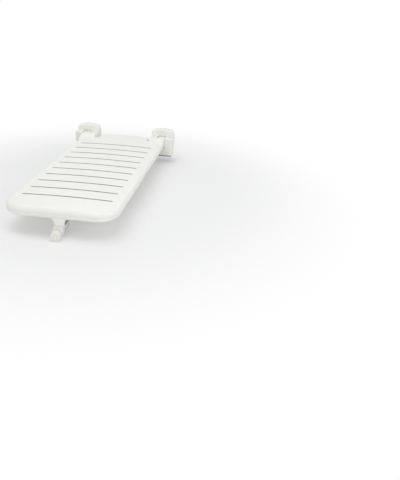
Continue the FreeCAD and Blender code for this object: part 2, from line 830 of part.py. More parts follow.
def make_hinge():
    cheek_out = S.cheek_gap / 2 + S.cheek_thickness
    groove_radius = S.pin_radius - S.clip_groove_depth
    for side_name, side in SIDES:
        name = f"hinge_pin_{side_name}"
        body = new_body(name)
        head = new_sketch(body, "YZ_Plane", -cheek_out - S.pin_head_thickness)
        draw_circle(head, HINGE_Y, HINGE_Z, S.pin_head_radius)
        pad(body, head, S.pin_head_thickness)
        shank = new_sketch(body, "YZ_Plane", -cheek_out)
        draw_circle(shank, HINGE_Y, HINGE_Z, S.pin_radius)
        pad(body, shank, 2 * cheek_out + S.pin_tail)
        ring = new_sketch(body, "YZ_Plane", cheek_out + S.fixed_clearance)
        draw_circle(ring, HINGE_Y, HINGE_Z, S.pin_radius + S.overrun)
        draw_circle(ring, HINGE_Y, HINGE_Z, groove_radius)
        pocket(body, ring, S.clip_thickness + S.fixed_clearance, along_normal=True)
        keep(place(body, x=side * HINGE_X), name)

    clips = []
    bushes = []
    washers = []
    stops = []
    barrel_half = S.tongue_width / 2 - S.seat_wall - S.seating_gap
    hub_half = S.tongue_width / 2
    pin_room = S.pin_radius + S.running_clearance
    for side_name, side in SIDES:
        x = side * HINGE_X
        start = (x + cheek_out + S.fixed_clearance, HINGE_Y, HINGE_Z)
        clip = rod_shape("x", start, S.clip_thickness, S.clip_radius)
        clips.append(clip.cut(rod_shape("x", start, S.clip_thickness, groove_radius + S.fixed_clearance)))
        for end in (x - barrel_half, x + barrel_half - S.bush_length):
            start = (end, HINGE_Y, HINGE_Z)
            bush = rod_shape("x", start, S.bush_length, BORE_RADIUS)
            bushes.append(bush.cut(rod_shape("x", start, S.bush_length, pin_room)))
        thickness = S.cheek_gap / 2 - hub_half - 2 * S.washer_play
        for end in (x - hub_half - S.washer_play - thickness, x + hub_half + S.washer_play):
            start = (end, HINGE_Y, HINGE_Z)
            washer = rod_shape("x", start, thickness, S.washer_radius)
            washers.append(washer.cut(rod_shape("x", start, thickness, pin_room)))
        start = (x - cheek_out - S.stop_pin_overhang, -S.stop_pin_from_wall, stop_pin_height())
        stops.append(rod_shape("x", start, 2 * (cheek_out + S.stop_pin_overhang), S.stop_pin_radius))
    keep(group("pin_clips", clips), "pin_clips")
    keep(group("hinge_bushes", bushes), "hinge_bushes")
    keep(group("hinge_washers", washers), "hinge_washers")
    keep(group("stop_pins", stops), "stop_pins")


def stop_pin_height():
    """The axis of the stop pins, just under the tongues."""
    return -S.seat_bottom_drop - S.stop_pin_radius - S.seating_gap


# Wall brackets


def make_wall_bracket(side_name, side):
    name = f"wall_bracket_{side_name}"
    body = new_body(name)
    half_width = S.plate_width / 2
    half_height = S.plate_height / 2
    plate = new_sketch(body, "XZ_Plane")
    draw_rectangle(plate, -half_width, half_width, -half_height, half_height)
    pad(body, plate, S.plate_thickness)
    fillet(body, S.plate_corner_radius, lambda edge: spans(edge, "x") < NEAR and spans(edge, "z") < NEAR)

    back = -S.plate_thickness + S.fixed_clearance
    front = -S.cheek_front_from_wall
    pin_top = HINGE_Z + S.pin_head_radius
    shelf = -S.block_depth + 2 * S.cover_wall
    stop_low = stop_pin_height() - 2 * S.stop_pin_radius
    for start in (-S.cheek_gap / 2 - S.cheek_thickness, S.cheek_gap / 2):
        cheek = new_sketch(body, "YZ_Plane", start)
        draw_outline(cheek, [
            (back, -half_height), (-S.stop_pin_from_wall + S.stop_pin_radius, stop_low),
            (front, stop_low + S.stop_pin_radius), (front, ZERO), (HINGE_Y - S.pin_radius, pin_top),
            (shelf, pin_top), (back, half_height),
        ])
        pad(body, cheek, S.cheek_thickness)

    wide = S.cheek_gap + 2 * S.cheek_thickness + 2 * S.overrun
    holes = new_sketch(body, "YZ_Plane", wide / 2)
    draw_circle(holes, HINGE_Y, HINGE_Z, S.pin_radius + S.fixed_clearance)
    draw_circle(holes, -S.stop_pin_from_wall, stop_pin_height(), S.stop_pin_radius + S.fixed_clearance)
    pocket(body, holes, wide)

    bolts = new_sketch(body, "XZ_Plane")
    for across in (-1, 1):
        for up in (-1, 1):
            x = across * S.bolt_spacing_across / 2
            z = up * S.bolt_spacing_up / 2
            draw_circle(bolts, x, z, S.bolt_hole_radius)
    pocket(body, bolts, S.plate_thickness + S.overrun, along_normal=True)
    keep(place(body, x=side * HINGE_X), name)


# Covers, base strips and seals of the wall brackets


def cover_form(name, inset):
    """The bracket cover's solid form, made smaller by inset."""
    body = new_body(name)
    half = S.cover_half_width - inset
    bulge = S.cover_side_bulge
    bottom = -S.cover_parting_drop
    depth = S.cover_depth - inset
    ledge = S.ledge_height - inset
    block = S.block_depth - inset
    shoulder = S.cover_shoulder - inset
    arch = S.cover_top - S.cover_shoulder
    if inset.number:
        bottom = bottom - S.overrun
    front = new_sketch(body, "XZ_Plane", ZERO)
    draw_outline(front, [
        (-half, bottom), (half, bottom, bulge), (half, shoulder, arch), (-half, shoulder, bulge),
    ])
    pad(body, front, depth)
    wide = half + bulge + S.overrun
    step = new_sketch(body, "YZ_Plane", wide)
    draw_rectangle(step, -depth - S.overrun, -block, ledge, S.cover_top + S.overrun)
    pocket(body, step, 2 * wide)

    radius = S.cover_edge_radius - inset

    def front_side(edge):
        return at(edge.BoundBox.YMax, -depth) and spans(edge, "z") > block.number

    def top_side(edge):
        along_depth = spans(edge, "x") < NEAR and spans(edge, "z") < NEAR
        return along_depth and middle(edge).z > ledge.number + NEAR

    def lip(edge):
        box_of_edge = edge.BoundBox
        on_ledge = at(box_of_edge.ZMin, ledge) and at(box_of_edge.ZMax, ledge)
        on_block = at(box_of_edge.YMin, -block) and at(box_of_edge.YMax, -block)
        on_ledge = on_ledge and box_of_edge.YMin < -block.number - NEAR
        return on_ledge or (on_block and box_of_edge.ZMax > ledge.number + NEAR)

    fillet(body, radius, front_side)
    fillet(body, radius, top_side)
    if not inset.number:
        fillet(body, S.cover_lip_radius, lip)
    return body


def plan_form(name, inset, bottom, height):
    """A slab with the bracket's outline seen from above, at its parting line."""
    body = new_body(name)
    half = S.cover_half_width - inset
    front = -S.cover_depth + inset
    outline = new_sketch(body, "XY_Plane", bottom)
    draw_rectangle(outline, -half, half, front, ZERO)
    pad(body, outline, height)
    fillet(body, S.cover_edge_radius - inset, lambda edge: upright(edge) and at(middle(edge).y, front))
    return body


def boss_x(side):
    return side * (S.cover_half_width - S.cover_wall - S.cover_boss_radius / 2)


def tongue_room(name):
    """The slot in the front and ledge of a cover, through which the tongue swings up."""
    body = new_body(f"{name}_tongue_room")
    half = S.tongue_width / 2 + S.cover_slot_clearance
    low = -S.seat_bottom_drop - S.cover_slot_room
    rear = HINGE_Y + S.hub_radius + S.hub_room
    face = new_sketch(body, "XZ_Plane", -rear)
    draw_rectangle(face, -half, half, low, S.ledge_height + S.overrun)
    pad(body, face, S.cover_depth + rear + S.overrun)
    round_radius = S.bottom_edge_radius - S.cover_slot_room
    fillet(body, round_radius, lambda edge: spans(edge, "x") < NEAR and at(edge.BoundBox.ZMax, low))
    return body


def make_cover(side_name, side):
    name = f"bracket_cover_{side_name}"
    outer = cover_form(f"{name}_outer", ZERO)
    inner = cover_form(f"{name}_inner", S.cover_wall)
    shell = join("Cut", f"{name}_shell", outer, inner)
    bosses = []
    bores = []
    for end_name, end in SIDES:
        start = (boss_x(end), -S.cover_boss_from_wall, -S.cover_parting_drop)
        length = S.cover_boss_height
        bosses.append(cylinder(f"{name}_boss_{end_name}", "z", start, length, S.cover_boss_radius))
        length = S.small_screw_length
        bores.append(cylinder(f"{name}_bore_{end_name}", "z", start, length, S.small_screw_radius))
    bosses = join("Common", f"{name}_bosses", join("Fuse", f"{name}_boss_pair", *bosses), outer)
    shell = join("Fuse", f"{name}_ready", shell, bosses)
    cuts = join("Fuse", f"{name}_cuts", tongue_room(name), *bores)
    cover = join("Cut", f"{name}_cut", shell, cuts)
    keep(place(cover, x=side * HINGE_X), name)


def make_base(side_name, side):
    name = f"bracket_base_{side_name}"
    top = -S.cover_parting_drop
    bottom = top - S.base_height
    tray = plan_form(f"{name}_tray", ZERO, bottom, S.base_height)

    def top_edge(edge):
        return at(edge.BoundBox.ZMin, top) and not at(edge.BoundBox.YMin, ZERO)

    chamfer(tray, S.base_edge_chamfer, top_edge)
    cuts = [plan_form(f"{name}_hollow", S.cover_wall, bottom + S.base_floor, S.base_height)]
    for end_name, end in SIDES:
        start = (boss_x(end), -S.cover_boss_from_wall, bottom)
        cuts.append(cylinder(f"{name}_bore_{end_name}", "z", start, S.base_height, S.small_screw_radius))
        head_radius = S.small_screw_head_radius + S.fixed_clearance
        cuts.append(cylinder(f"{name}_seat_{end_name}", "z", start, S.small_screw_head_height, head_radius))
    base = join("Cut", f"{name}_cut", tray, join("Fuse", f"{name}_cuts", *cuts))
    keep(place(base, x=side * HINGE_X), name)


def make_seal(side_name, side):
    name = f"bracket_seal_{side_name}"
    bottom = -S.cover_parting_drop - S.base_height - S.seal_height
    keep(place(plan_form(name, S.seal_inset, bottom, S.seal_height), x=side * HINGE_X), name)


def make_cover_screws():
    bottom = -S.cover_parting_drop - S.base_height
    radius = S.small_screw_radius - S.fixed_clearance
    screws = []
    for side_name, side in SIDES:
        for end_name, end in SIDES:
            start = (side * HINGE_X + boss_x(end), -S.cover_boss_from_wall, bottom)
            head = rod_shape("z", start, S.small_screw_head_height, S.small_screw_head_radius)
            shank = rod_shape("z", start, S.base_height + S.small_screw_length - S.overrun, radius)
            screws.append(head.fuse(shank).removeSplitter())
    keep(group("cover_screws", screws), "cover_screws")


# Front post, its foot, screws and clamp


def post_outline(sketch, inset, top, bottom):
    """The flared front view of the post."""
    half = S.post_width / 2 - inset
    top_half = S.post_top_width / 2 - inset
    flare_top = -S.post_flare_top - inset
    flare_bottom = -S.post_flare_bottom - inset / 2
    draw_outline(sketch, [
        (-half, bottom), (half, bottom), (half, flare_bottom, -S.post_flare_sag), (top_half, flare_top),
        (top_half, top), (-top_half, top), (-top_half, flare_top, -S.post_flare_sag), (-half, flare_bottom),
    ])


def make_post():
    body = new_body("front_support")
    top = -S.seat_bottom_drop
    front = new_sketch(body, "XZ_Plane", -POST_REAR_Y)
    post_outline(front, ZERO, top, -S.post_bottom)
    pad(body, front, S.post_depth)

    def outer_corner(edge):
        return upright(edge) and at(abs(middle(edge).x), S.post_top_width / 2)

    fillet(body, S.post_corner_radius, outer_corner)
    hollow = new_sketch(body, "XZ_Plane", -POST_REAR_Y + S.post_wall)
    post_outline(hollow, S.post_wall, top - S.post_wall, -S.post_bottom - S.overrun)
    pocket(body, hollow, S.post_depth - 2 * S.post_wall, along_normal=True)

    lug = new_sketch(body, "YZ_Plane", -S.post_width / 2)
    inner = POST_FRONT_Y + S.post_wall / 2
    draw_outline(lug, [
        (inner, -S.lug_root), (inner, -S.post_bottom), (LUG_BACK_Y, -S.post_bottom),
        (LUG_BACK_Y, -S.clamp_drop), (LUG_FRONT_Y, -S.clamp_drop), (LUG_FRONT_Y, -S.lug_shoulder),
        (POST_FRONT_Y, -S.lug_root),
    ])
    pad(body, lug, S.post_width)
    boss = new_sketch(body, "XZ_Plane", -LUG_BACK_Y)
    draw_circle(boss, ZERO, -S.clamp_drop, S.post_width / 2)
    pad(body, boss, S.lug_thickness)
    start = LUG_BACK_Y + S.overrun
    bore_into(body, start, S.lug_thickness + 2 * S.overrun, S.insert_radius + S.fixed_clearance)
    bore_into(body, start, S.shoe_recess + S.overrun, S.shoe_radius + S.shoe_side_clearance)

    window = new_sketch(body, "YZ_Plane", S.post_top_width)
    near = POST_FRONT_Y + S.window_setback
    high = top - S.post_wall
    draw_rectangle(window, near, near + S.window_length, high - S.window_height, high)
    pocket(body, window, 2 * S.post_top_width)

    bores = new_sketch(body, "XY_Plane", top)
    for side_name, side in SIDES:
        radius = S.support_screw_radius + S.fixed_clearance
        draw_circle(bores, side * S.support_screw_across / 2, POST_MID_Y, radius)
    pocket(body, bores, S.post_wall + S.overrun)
    keep(body, "front_support")

    pad_body = new_body("rim_pad")
    foot = new_sketch(pad_body, "XY_Plane", -S.post_bottom - S.rim_pad_height)
    draw_rectangle(foot, -S.post_width / 2, S.post_width / 2, POST_FRONT_Y + S.rim_pad_setback, POST_REAR_Y)
    pad(pad_body, foot, S.rim_pad_height)
    fillet(pad_body, S.post_corner_radius, upright)
    keep(pad_body, "rim_pad")

    screws = []
    for side_name, side in SIDES:
        x = side * S.support_screw_across / 2
        head_top = top - S.post_wall
        start = (x, POST_MID_Y, head_top - S.support_screw_head_height)
        length = FRAME_BOTTOM + S.rail_wall + S.overrun - start[2]
        head = rod_shape("z", start, S.support_screw_head_height, S.support_screw_head_radius)
        screws.append(head.fuse(rod_shape("z", start, length, S.support_screw_radius)).removeSplitter())
    keep(group("support_screws", screws), "support_screws")


def turned(name, start_y, length, radius):
    """A round piece on the clamp axis, from start_y towards the user."""
    body = new_body(name)
    face = new_sketch(body, "XZ_Plane", -start_y)
    draw_circle(face, ZERO, -S.clamp_drop, radius)
    pad(body, face, length)
    return body


def bore_into(body, start_y, length, radius):
    hole = new_sketch(body, "XZ_Plane", -start_y)
    draw_circle(hole, ZERO, -S.clamp_drop, radius)
    return pocket(body, hole, length, along_normal=True)


def make_clamp():
    insert = turned("thread_insert", INSERT_BACK_Y, S.lug_thickness - S.shoe_recess, S.insert_radius)
    flange = new_sketch(insert, "XZ_Plane", -LUG_FRONT_Y)
    draw_circle(flange, ZERO, -S.clamp_drop, S.insert_flange_radius)
    pad(insert, flange, S.insert_flange_thickness)
    length = S.lug_thickness + S.insert_flange_thickness + 2 * S.overrun
    bore_into(insert, INSERT_BACK_Y + S.overrun, length, S.screw_radius + S.running_clearance)
    keep(insert, "thread_insert")

    screw_tip = SHOE_BACK_Y + S.shoe_socket_depth
    screw_end = KNOB_BACK_Y - S.screw_into_knob
    screw = turned("clamp_screw", screw_tip, screw_tip - screw_end, S.screw_radius)
    keep(screw, "clamp_screw")

    knob = turned("clamp_knob", KNOB_BACK_Y, S.knob_length, S.knob_radius)
    fillet(knob, S.knob_edge_radius, lambda edge: edge.isClosed())
    flute = new_sketch(knob, "XZ_Plane", -KNOB_BACK_Y - S.overrun, -S.clamp_drop)
    reach = S.knob_radius + S.knob_flute_radius - S.knob_flute_depth
    draw_circle(flute, ZERO, reach, S.knob_flute_radius)
    groove = pocket(knob, flute, S.knob_length + 2 * S.overrun, along_normal=True)
    ring = knob.newObject("PartDesign::PolarPattern", "Flutes")
    ring.Originals = [groove]
    ring.Axis = (flute, ["N_Axis"])
    ring.Angle = 360
    bind(ring, "Occurrences", S.knob_flute_count)
    knob.Tip = ring
    doc.recompute()
    screw_hole = S.screw_radius + S.fixed_clearance
    bore_into(knob, KNOB_BACK_Y + S.overrun, S.screw_into_knob + S.overrun, screw_hole)
    cap_back = KNOB_FACE_Y + S.cap_recess + S.cap_thickness
    bore_into(knob, cap_back, S.cap_recess + S.cap_thickness + S.overrun, S.cap_radius + S.fixed_clearance)
    keep(knob, "clamp_knob")

    cap = turned("knob_cap", cap_back, S.cap_thickness, S.cap_radius)

    def face_edge(edge):
        return edge.isClosed() and at(edge.BoundBox.YMin, KNOB_FACE_Y + S.cap_recess)

    fillet(cap, S.cap_edge_radius, face_edge)
    keep(cap, "knob_cap")

    shoe = turned("clamp_shoe", SHOE_BACK_Y + S.shoe_thickness, S.shoe_thickness, S.shoe_radius)
    socket = S.screw_radius + S.running_clearance
    bore_into(shoe, screw_tip + S.fixed_clearance, S.shoe_socket_depth + S.overrun, socket)
    keep(shoe, "clamp_shoe")
    shoe_pad_back = SHOE_BACK_Y + S.shoe_thickness + S.shoe_pad_thickness
    keep(turned("shoe_pad", shoe_pad_back, S.shoe_pad_thickness, S.shoe_radius), "shoe_pad")


make_seat()
make_frame()
make_hinge()
for side_name, side in SIDES:
    make_wall_bracket(side_name, side)
    make_cover(side_name, side)
    make_base(side_name, side)
    make_seal(side_name, side)
make_cover_screws()
make_post()
make_clamp()
doc.recompute()

for item in doc.Objects:
    if "Invalid" in item.State or "Error" in item.State:
        raise RuntimeError(f"{item.Label} in {[user.Label for user in item.InList]}: {item.State}")

os.makedirs("parts", exist_ok=True)
for node in NODES:
    if node.Shape.isNull() or not node.Shape.isValid():
        raise RuntimeError(f"{node.Label}: its shape is not valid")
    node.Shape.exportStep(os.path.join("parts", f"{node.Label}.step"))
    box_of_node = node.Shape.BoundBox
    print(node.Label, len(node.Shape.Solids), round(node.Shape.Volume), [
        round(value, 1) for value in (
            box_of_node.XMin, box_of_node.YMin, box_of_node.ZMin,
            box_of_node.XMax, box_of_node.YMax, box_of_node.ZMax,
        )
    ])
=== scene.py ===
import math

import bmesh
import bpy
from mathutils import Matrix, Vector


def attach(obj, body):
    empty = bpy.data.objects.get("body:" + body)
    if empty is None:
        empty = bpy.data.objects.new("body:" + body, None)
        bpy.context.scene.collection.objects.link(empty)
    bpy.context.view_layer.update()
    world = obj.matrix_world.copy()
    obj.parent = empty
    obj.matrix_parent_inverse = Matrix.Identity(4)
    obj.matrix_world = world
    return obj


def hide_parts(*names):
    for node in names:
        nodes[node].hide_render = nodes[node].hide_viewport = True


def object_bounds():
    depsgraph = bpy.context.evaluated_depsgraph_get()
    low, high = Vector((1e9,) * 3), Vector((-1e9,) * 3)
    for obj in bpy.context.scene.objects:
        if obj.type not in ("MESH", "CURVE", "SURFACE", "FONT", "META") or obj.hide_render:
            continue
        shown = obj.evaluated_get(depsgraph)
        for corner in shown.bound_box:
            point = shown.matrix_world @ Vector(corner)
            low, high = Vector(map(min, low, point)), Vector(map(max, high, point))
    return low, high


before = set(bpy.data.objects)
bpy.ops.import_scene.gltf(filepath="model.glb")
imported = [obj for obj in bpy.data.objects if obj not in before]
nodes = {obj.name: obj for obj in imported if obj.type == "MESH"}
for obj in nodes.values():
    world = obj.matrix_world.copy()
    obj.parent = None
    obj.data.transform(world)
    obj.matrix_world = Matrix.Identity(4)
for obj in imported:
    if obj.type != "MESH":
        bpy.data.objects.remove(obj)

# Folding bath seat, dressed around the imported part.
# Metres, +Z up. The brackets' backs lie in the plane Y = 0 and the seat reaches towards -Y.

CAD_BOX = [list(corner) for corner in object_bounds()]
MM = 0.001
scene = bpy.context.scene
part_low, part_high = (Vector(corner) for corner in CAD_BOX)
part_middle = (part_low + part_high) / 2


# Camera and image

IMAGE_HEIGHT = 480
FOCAL_PIXELS = 519.0
SENSOR = 36.0
CAMERA_PLACE = (0.590, -2.258, 0.669)
CAMERA_TURN = (62.93, -2.45, 7.17)

camera_data = bpy.data.cameras.new("photo_camera")
camera_data.sensor_fit = "AUTO"
camera_data.sensor_width = SENSOR
camera_data.lens = FOCAL_PIXELS / IMAGE_HEIGHT * SENSOR
camera_data.dof.use_dof = False
camera = bpy.data.objects.new("photo_camera", camera_data)
camera.location = CAMERA_PLACE
camera.rotation_euler = [math.radians(angle) for angle in CAMERA_TURN]
scene.collection.objects.link(camera)
scene.camera = camera
scene.view_settings.view_transform = "Standard"


# Shader nodes

def find(sockets, name):
    """The socket of that name or identifier, which may be written with _ for each space."""
    for socket in sockets:
        if name in (socket.identifier, socket.name, socket.name.replace(" ", "_")):
            return socket
    raise KeyError(name)


class Value:
    """A socket that varies over a surface. Sums and products of it add Math nodes."""

    def __init__(self, finish, socket):
        self.finish = finish
        self.socket = socket

    def math(self, operation, *inputs):
        """A Math node of that operation."""
        return self.finish.add("ShaderNodeMath", {"operation": operation}, *inputs)

    def __add__(self, other):
        return self.math("ADD", self, other)

    def __sub__(self, other):
        return self.math("SUBTRACT", self, other)

    def __rsub__(self, other):
        return self.math("SUBTRACT", other, self)

    def __mul__(self, other):
        return self.math("MULTIPLY", self, other)

    __radd__ = __add__
    __rmul__ = __mul__

    def __abs__(self):
        return self.math("ABSOLUTE", self)

    def larger(self, other):
        return self.math("MAXIMUM", self, other)

    def between(self, low, high):
        """0 below low, 1 above high, smooth in the middle."""
        return self.finish.add(
            "ShaderNodeMapRange", {"interpolation_type": "SMOOTHSTEP"},
            Value=self, From_Min=low, From_Max=high,
        )


class Finish:
    """A tree of shader nodes, for a material or for the world."""

    def __init__(self, owner, last):
        owner.use_nodes = True
        self.owner = owner
        self.tree = owner.node_tree
        self.tree.nodes.clear()
        self.last = self.tree.nodes.new(last)

    def put(self, socket, value):
        """Links a value to a socket, or sets the socket to a constant."""
        if isinstance(value, Value):
            self.tree.links.new(value.socket, socket)
        elif socket.type == "RGBA":
            socket.default_value = (*value, 1.0)
        else:
            socket.default_value = value

    def add(self, kind, settings, *inputs, output=None, **named):
        """One node: its settings first, then its sockets, and one of its outputs."""
        node = self.tree.nodes.new(kind)
        for setting, value in settings.items():
            setattr(node, setting, value)
        for socket, value in zip(node.inputs, inputs):
            self.put(socket, value)
        for name, value in named.items():
            self.put(find(node.inputs, name), value)
        return Value(self, find(node.outputs, output) if output else node.outputs[0])

    def show(self, shader):
        """Makes a shader the one that is seen."""
        self.put(self.last.inputs["Surface"], shader)

    def place(self):
        """Where the point lies on the part, in metres."""
        return self.add("ShaderNodeTexCoord", {}, output="Object")

    def stretch(self, x, y, z):
        """That place, scaled along each axis."""
        return self.add("ShaderNodeVectorMath", {"operation": "MULTIPLY"}, self.place(), (x, y, z))

    def axis(self, name):
        """How far that place lies along X, Y or Z."""
        return self.add("ShaderNodeSeparateXYZ", {}, self.place(), output=name)

    def noise(self, size, detail=2.0, roughness=0.5, place=None):
        """Soft noise from 0 to 1 whose blobs are about that size, in metres."""
        return self.add(
            "ShaderNodeTexNoise", {"noise_dimensions": "3D"},
            Vector=place or self.place(), Scale=1 / size, Detail=detail, Roughness=roughness,
        )

    def cells(self, size, output="Distance"):
        """Scattered points about that far apart: the distance to the nearest, or its colour."""
        return self.add("ShaderNodeTexVoronoi", {}, Vector=self.place(), Scale=1 / size, output=output)

    def mix(self, factor, one, two):
        """The first colour where factor is 0, and the second where it is 1."""
        return self.add(
            "ShaderNodeMix", {"data_type": "RGBA"}, output="Result_Color",
            Factor_Float=factor, A_Color=one, B_Color=two,
        )


class Material(Finish):
    """A material with one main shader, whose constants are set on its own sockets."""

    def __init__(self, name, **constants):
        super().__init__(bpy.data.materials.new(name), "ShaderNodeOutputMaterial")
        self.shader = self.add("ShaderNodeBsdfPrincipled", {}, **constants)
        self.show(self.shader)

    def feed(self, **values):
        """Links values to the main shader's sockets."""
        for name, value in values.items():
            self.put(find(self.shader.socket.node.inputs, name), value)

    def surface(self, colour, roughness, relief, depth):
        """Links colour, roughness and a relief of that depth to the main shader."""
        self.feed(Base_Color=colour, Roughness=roughness)
        self.feed(Normal=self.add("ShaderNodeBump", {}, Strength=1.0, Distance=depth, Height=relief))
        return self.owner


def linear(red, green, blue):
    """A colour written as it shows on a screen, as light."""
    shares = (red / 255, green / 255, blue / 255)
    return tuple(c / 12.92 if c <= 0.04045 else ((c + 0.055) / 1.055) ** 2.4 for c in shares)


# Finishes of moulded plastic

SOAP_FILM = linear(198, 193, 180)
SCUFF_GREY = linear(204, 203, 198)
# Painted shade: the grey that darkens the walls of the narrow drain slots, where little light gets in
PAINTED_SLOT_SHADE = linear(160, 156, 145)

# Where the parting seam and the drain slots lie

SEAM_HEIGHT = -4.0 * MM
SEAM_HALF = 0.25 * MM
SLOT_COUNT = 10
SLOT_PITCH = 65.0 * MM
FIRST_SLOT = -185.0 * MM
LAST_SLOT = FIRST_SLOT - (SLOT_COUNT - 1) * SLOT_PITCH
SLOT_HALF_WIDTH = 2.6 * MM
SLOT_HALF_LENGTH = 150.0 * MM
SLOT_FADE = (0.2 * MM, 0.7 * MM)
ROW_FADE = (10.0 * MM, 11.0 * MM)

# How much each mark shows in the colour, the roughness and the relief.
# The seam is a groove, so its relief is several times that of the grain.

TINT_SHARE = 0.5
FILM_SHARE = 0.05
SPECK_SHARE = 0.16
SCUFF_SHARE = 0.08
SEAM_SHARE = 0.45
SLOT_SHADE_SHARE = 0.85
FLOW_ROUGHNESS = 0.03
MARK_ROUGHNESS = 0.02
GRAIN_RELIEF = 0.85
FLOW_RELIEF = 0.15
SCUFF_RELIEF = 0.3
SEAM_RELIEF = 4.0


def beyond(distance, half, fade):
    """0 up to half and 1 past it, with the step between the fade's two distances."""
    return distance.between(half + fade[0], half + fade[1])


def painted_slot_shade(finish):
    """1 on the walls of the drain slots, where shade is painted in, and 0 just outside them."""
    across = beyond(abs(finish.axis("X")), SLOT_HALF_LENGTH, SLOT_FADE)
    from_first = finish.axis("Y") - FIRST_SLOT
    from_nearest = from_first.math("PINGPONG", from_first, SLOT_PITCH / 2)
    along = beyond(from_nearest, SLOT_HALF_WIDTH, SLOT_FADE)
    row_middle = (FIRST_SLOT + LAST_SLOT) / 2
    row_half = (FIRST_SLOT - LAST_SLOT) / 2
    past_row = beyond(abs(finish.axis("Y") - row_middle), row_half, ROW_FADE)
    return (1 - across) * (1 - along) * (1 - past_row)


def moulded(name, colour, shade, roughness, grain, depth, seam=False, slots=False):
    """Moulded plastic: a slow tint, fine eroded grain, flow marks, scuffs, film and specks."""
    finish = Material(
        name, IOR=1.49,
        Subsurface_Weight=0.04, Subsurface_Scale=4 * MM, Subsurface_Radius=(1.0, 0.9, 0.8),
    )
    cloud = finish.noise(170 * MM, detail=3.0)
    flow = finish.noise(30 * MM, detail=4.0, roughness=0.6, place=finish.stretch(1.0, 0.35, 1.0))
    texture = finish.noise(grain, detail=2.0, roughness=0.6)
    scratches = finish.noise(3 * MM, detail=3.0, roughness=0.7, place=finish.stretch(0.12, 1.0, 1.0))
    scuffs = scratches.between(0.62, 0.72) * finish.noise(60 * MM).between(0.5, 0.66)
    specks = 1 - finish.cells(9 * MM).between(0.03, 0.06)
    film = finish.noise(52 * MM, detail=5.0, roughness=0.62).between(0.56, 0.74)
    tint = (cloud * 0.6 + flow * 0.4).between(0.35, 0.65)

    paint = finish.mix(tint * TINT_SHARE, colour, shade)
    paint = finish.mix(film * FILM_SHARE + specks * SPECK_SHARE, paint, SOAP_FILM)
    paint = finish.mix(scuffs * SCUFF_SHARE, paint, SCUFF_GREY)
    relief = texture * GRAIN_RELIEF + flow * FLOW_RELIEF - scuffs * SCUFF_RELIEF
    if seam:
        line = 1 - abs(finish.axis("Z") - SEAM_HEIGHT).between(SEAM_HALF, 2 * SEAM_HALF)
        paint = finish.mix(line * SEAM_SHARE, paint, SOAP_FILM)
        relief = relief - line * SEAM_RELIEF
    if slots:
        # Painted shade on the walls of the drain slots
        paint = finish.mix(painted_slot_shade(finish) * SLOT_SHADE_SHARE, paint, PAINTED_SLOT_SHADE)
    rough = roughness + (flow - 0.5) * FLOW_ROUGHNESS + scuffs * MARK_ROUGHNESS
    rough = rough + texture * MARK_ROUGHNESS + film * MARK_ROUGHNESS
    return finish.surface(paint, rough, relief, depth)


# Finishes of rubber, nylon and metal

RUBBER_ROUGHNESS = 0.72
RUBBER_DEPTH = 0.12 * MM
BLOOM_SHARE = 0.55
BLOOM_ROUGHNESS = 0.16
NYLON_ROUGHNESS = 0.38
NYLON_DEPTH = 0.04 * MM
WORN_SHARE = 0.6
RING_ROUGHNESS = 0.14
CLOUD_ROUGHNESS = 0.08
METAL_FILM_SHARE = 0.7
LINE_SHARE = 0.15
LINE_ROUGHNESS = 0.16
METAL_FILM_ROUGHNESS = 0.14
ZINC_ROUGHNESS = 0.30
ZINC_DEPTH = 0.03 * MM
FACET_SHARE = 0.5
FACET_ROUGHNESS = 0.16
CHALK_SHARE = 0.4
CHALK_ROUGHNESS = 0.22
ALONG_X = (0.03, 1.0, 1.0)
ALONG_Y = (1.0, 0.03, 1.0)


def rubber(name, colour, worn):
    """Moulded rubber: matt, dusty on its bumps, with fine pits."""
    finish = Material(name, IOR=1.52, Specular_IOR_Level=0.35)
    pits = finish.cells(1.1 * MM)
    pebble = finish.noise(0.8 * MM)
    dust = finish.noise(14 * MM, detail=4.0, roughness=0.65)
    bloom = (dust * 0.7 + pebble * 0.3).between(0.42, 0.62)
    paint = finish.mix(bloom * BLOOM_SHARE, colour, worn)
    rough = RUBBER_ROUGHNESS + bloom * BLOOM_ROUGHNESS
    return finish.surface(paint, rough, pits * 0.4 + pebble * 0.6, RUBBER_DEPTH)


def nylon(name, colour, worn):
    """Turned nylon: faint rings of the tool and a polished bearing face."""
    finish = Material(name, IOR=1.53, Subsurface_Weight=0.06, Subsurface_Scale=2 * MM)
    cloud = finish.noise(9 * MM, detail=3.0)
    rings = finish.noise(0.5 * MM, place=finish.stretch(1.0, 0.1, 0.1))
    paint = finish.mix(cloud.between(0.35, 0.7) * WORN_SHARE, colour, worn)
    rough = NYLON_ROUGHNESS + rings * RING_ROUGHNESS + cloud * CLOUD_ROUGHNESS
    return finish.surface(paint, rough, rings, NYLON_DEPTH)


def drawn_metal(name, colour, dull, roughness, along, line, depth):
    """Metal with lines along one axis, a patchy film and small dents."""
    finish = Material(name, Metallic=1.0)
    lines = finish.noise(line, detail=3.0, roughness=0.6, place=finish.stretch(*along))
    film = finish.noise(24 * MM, detail=4.0, roughness=0.6)
    dents = finish.cells(12 * MM).between(0.0, 0.16)
    dulled = film.between(0.4, 0.65) * METAL_FILM_SHARE + lines * LINE_SHARE
    paint = finish.mix(dulled, colour, dull)
    rough = roughness + lines * LINE_ROUGHNESS + film.between(0.45, 0.7) * METAL_FILM_ROUGHNESS
    return finish.surface(paint, rough, lines * 0.7 + dents * 0.3, depth)


